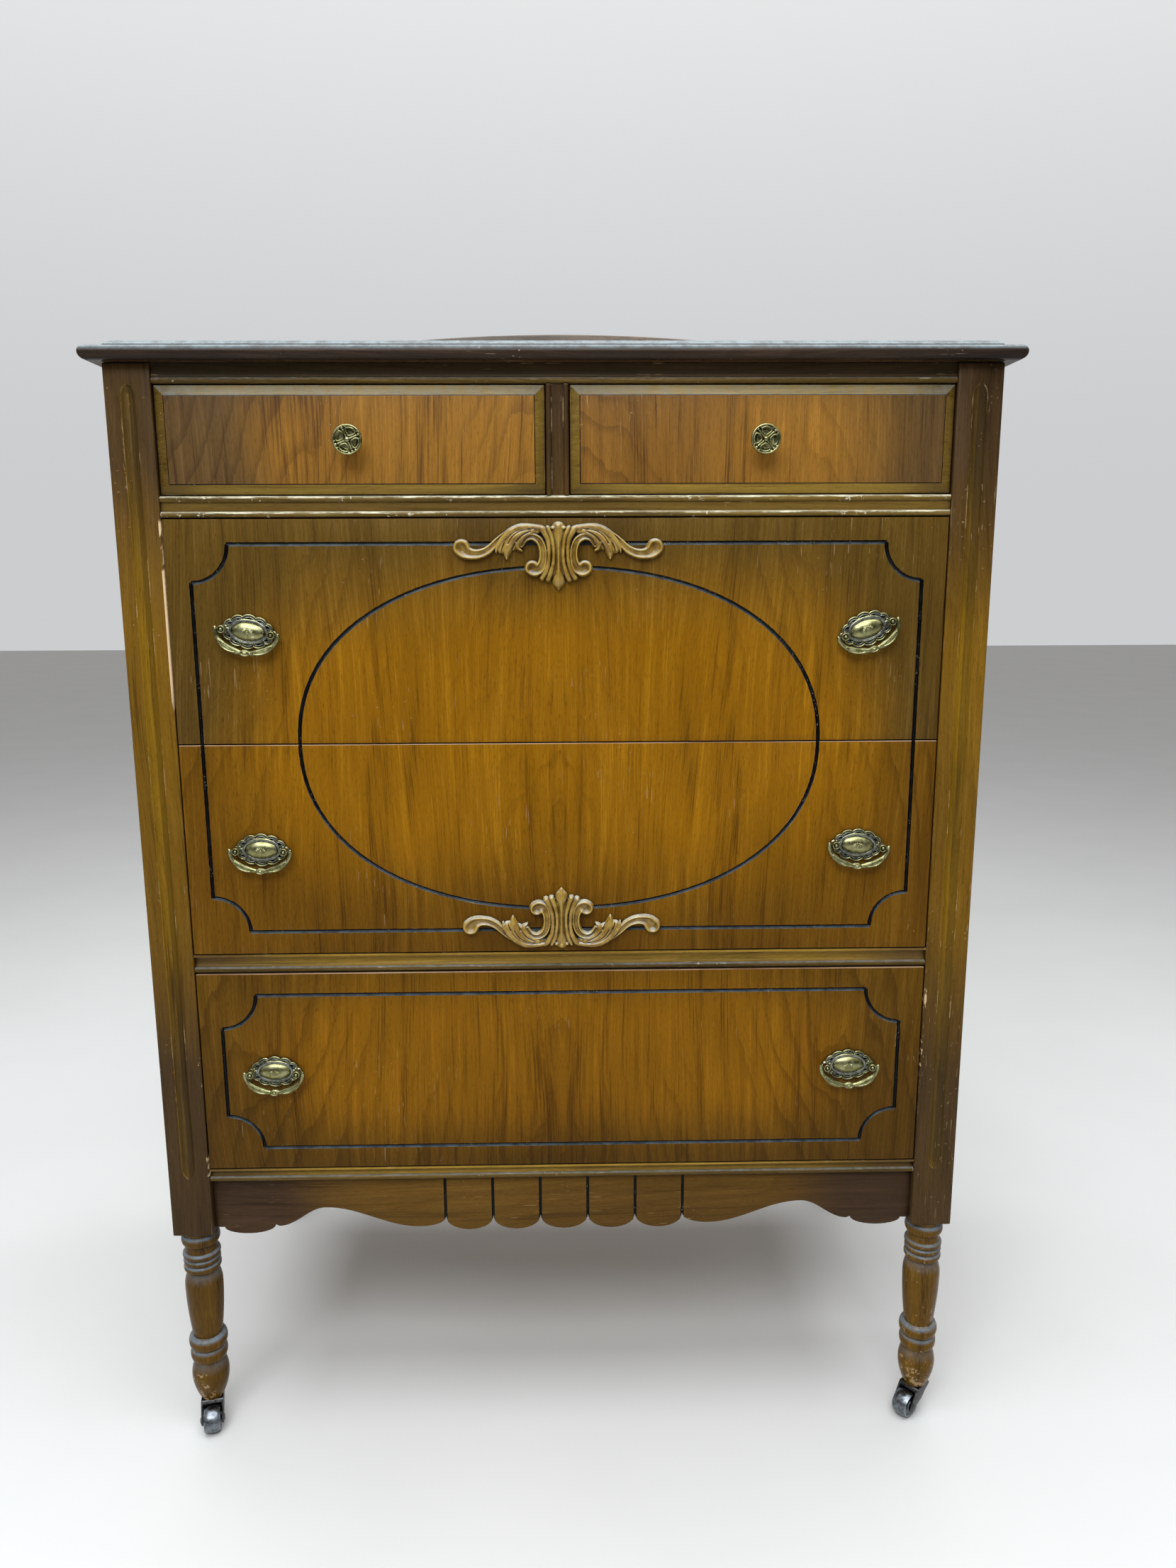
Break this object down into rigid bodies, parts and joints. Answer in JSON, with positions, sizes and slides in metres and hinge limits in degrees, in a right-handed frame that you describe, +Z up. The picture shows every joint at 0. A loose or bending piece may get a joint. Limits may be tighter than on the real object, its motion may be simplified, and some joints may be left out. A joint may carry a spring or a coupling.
{
  "type": "dresser",
  "caption": "Tall chest with small drawers over long drawers, an oval line and carved ornaments on its front, cast brass pulls, a low back gallery and turned legs on casters.",
  "frame": {"origin": "on the floor, under the middle of the box round the whole piece", "axes": "+Z up, +Y from the drawer fronts to the back, +X to the viewer's right when the front is faced"},
  "size_m": [0.964, 0.533, 1.3788],
  "materials": {
    "dark_walnut": "dark stained wood, satin, worn at its edges",
    "walnut_veneer": "figured walnut veneer, satin varnish",
    "pale_wood": "bare secondary wood",
    "gilt_carving": "carved wood with a golden tint",
    "old_brass": "cast brass, aged",
    "dark_steel": "dark worn steel"
  },
  "bodies": {
    "case": {"back_gallery": "dark_walnut", "back_panel": "pale_wood", "bottom_dustboard": "pale_wood", "bottom_front_rail": "dark_walnut", "center_drawer_guide": "pale_wood", "drawer_divider": "dark_walnut", "front_apron": "dark_walnut", "front_left_post": "dark_walnut", "front_right_post": "dark_walnut", "left_side_panel": "dark_walnut", "lower_dustboard": "pale_wood", "lower_front_rail": "dark_walnut", "middle_dustboard": "pale_wood", "rear_left_post": "dark_walnut", "rear_right_post": "dark_walnut", "right_side_panel": "dark_walnut", "top_board": "dark_walnut", "top_front_rail": "dark_walnut", "upper_dustboard": "pale_wood", "upper_front_rail": "dark_walnut"},
    "top_left_drawer": {"top_left_drawer_front": "walnut_veneer", "top_left_drawer_box": "pale_wood", "top_left_drawer_bottom": "pale_wood", "left_knob": "old_brass"},
    "top_right_drawer": {"top_right_drawer_front": "walnut_veneer", "top_right_drawer_box": "pale_wood", "top_right_drawer_bottom": "pale_wood", "right_knob": "old_brass"},
    "upper_long_drawer": {"upper_long_drawer_front": "walnut_veneer", "upper_long_drawer_box": "pale_wood", "upper_long_drawer_bottom": "pale_wood", "upper_left_pull_plate": "old_brass", "upper_right_pull_plate": "old_brass", "upper_carving": "gilt_carving"},
    "lower_long_drawer": {"lower_long_drawer_front": "walnut_veneer", "lower_long_drawer_box": "pale_wood", "lower_long_drawer_bottom": "pale_wood", "middle_left_pull_plate": "old_brass", "middle_right_pull_plate": "old_brass", "lower_carving": "gilt_carving"},
    "bottom_drawer": {"bottom_drawer_front": "walnut_veneer", "bottom_drawer_box": "pale_wood", "bottom_drawer_bottom": "pale_wood", "bottom_left_pull_plate": "old_brass", "bottom_right_pull_plate": "old_brass"},
    "upper_left_bail": {"upper_left_pull_bail": "old_brass"},
    "upper_right_bail": {"upper_right_pull_bail": "old_brass"},
    "middle_left_bail": {"middle_left_pull_bail": "old_brass"},
    "middle_right_bail": {"middle_right_pull_bail": "old_brass"},
    "bottom_left_bail": {"bottom_left_pull_bail": "old_brass"},
    "bottom_right_bail": {"bottom_right_pull_bail": "old_brass"},
    "front_left_swivel": {"front_left_caster_fork": "dark_steel"},
    "front_left_wheel": {"front_left_caster_wheel": "dark_steel"},
    "front_right_swivel": {"front_right_caster_fork": "dark_steel"},
    "front_right_wheel": {"front_right_caster_wheel": "dark_steel"},
    "rear_left_swivel": {"rear_left_caster_fork": "dark_steel"},
    "rear_left_wheel": {"rear_left_caster_wheel": "dark_steel"},
    "rear_right_swivel": {"rear_right_caster_fork": "dark_steel"},
    "rear_right_wheel": {"rear_right_caster_wheel": "dark_steel"}
  },
  "joints": [
    {"name": "top_left_drawer_slide", "type": "slide", "parent": "case", "child": "top_left_drawer", "axis": [0, -1, 0], "range_m": [0, 0.36]},
    {"name": "top_right_drawer_slide", "type": "slide", "parent": "case", "child": "top_right_drawer", "axis": [0, -1, 0], "range_m": [0, 0.36]},
    {"name": "upper_long_drawer_slide", "type": "slide", "parent": "case", "child": "upper_long_drawer", "axis": [0, -1, 0], "range_m": [0, 0.36]},
    {"name": "lower_long_drawer_slide", "type": "slide", "parent": "case", "child": "lower_long_drawer", "axis": [0, -1, 0], "range_m": [0, 0.36]},
    {"name": "bottom_drawer_slide", "type": "slide", "parent": "case", "child": "bottom_drawer", "axis": [0, -1, 0], "range_m": [0, 0.36]},
    {"name": "upper_left_bail_hinge", "type": "hinge", "parent": "upper_long_drawer", "child": "upper_left_bail", "pos_m": [-0.3322, -0.2513, 0.9805], "axis": [-0.9912, 0, 0.1323], "range_deg": [0, 95]},
    {"name": "upper_right_bail_hinge", "type": "hinge", "parent": "upper_long_drawer", "child": "upper_right_bail", "pos_m": [0.3322, -0.2513, 0.9805], "axis": [-0.9521, 0, -0.3057], "range_deg": [0, 95]},
    {"name": "middle_left_bail_hinge", "type": "hinge", "parent": "lower_long_drawer", "child": "middle_left_bail", "pos_m": [-0.3322, -0.2513, 0.7403], "axis": [-0.9997, 0, 0.0227], "range_deg": [0, 95]},
    {"name": "middle_right_bail_hinge", "type": "hinge", "parent": "lower_long_drawer", "child": "middle_right_bail", "pos_m": [0.3322, -0.2513, 0.7403], "axis": [-0.9977, 0, 0.068], "range_deg": [0, 95]},
    {"name": "bottom_left_bail_hinge", "type": "hinge", "parent": "bottom_drawer", "child": "bottom_left_bail", "pos_m": [-0.3322, -0.2513, 0.4768], "axis": [-1, 0, 0], "range_deg": [0, 95]},
    {"name": "bottom_right_bail_hinge", "type": "hinge", "parent": "bottom_drawer", "child": "bottom_right_bail", "pos_m": [0.3322, -0.2513, 0.4768], "axis": [-1, 0, 0], "range_deg": [0, 95]},
    {"name": "front_left_swivel_turn", "type": "hinge", "parent": "case", "child": "front_left_swivel", "pos_m": [-0.441, -0.2195, 0.037], "axis": [0, 0, 1], "continuous": true},
    {"name": "front_left_wheel_spin", "type": "hinge", "parent": "front_left_swivel", "child": "front_left_wheel", "pos_m": [-0.4365, -0.23899, 0.016], "axis": [0.9744, 0.225, 0], "continuous": true},
    {"name": "front_right_swivel_turn", "type": "hinge", "parent": "case", "child": "front_right_swivel", "pos_m": [0.441, -0.2195, 0.037], "axis": [0, 0, 1], "continuous": true},
    {"name": "front_right_wheel_spin", "type": "hinge", "parent": "front_right_swivel", "child": "front_right_wheel", "pos_m": [0.42568, -0.23236, 0.016], "axis": [0.6428, -0.766, 0], "continuous": true},
    {"name": "rear_left_swivel_turn", "type": "hinge", "parent": "case", "child": "rear_left_swivel", "pos_m": [-0.441, 0.2425, 0.037], "axis": [0, 0, 1], "continuous": true},
    {"name": "rear_left_wheel_spin", "type": "hinge", "parent": "rear_left_swivel", "child": "rear_left_wheel", "pos_m": [-0.44913, 0.22423, 0.016], "axis": [0.9135, -0.4067, 0], "continuous": true},
    {"name": "rear_right_swivel_turn", "type": "hinge", "parent": "case", "child": "rear_right_swivel", "pos_m": [0.441, 0.2425, 0.037], "axis": [0, 0, 1], "continuous": true},
    {"name": "rear_right_wheel_spin", "type": "hinge", "parent": "rear_right_swivel", "child": "rear_right_wheel", "pos_m": [0.45247, 0.22612, 0.016], "axis": [0.8192, 0.5736, 0], "continuous": true}
  ]
}
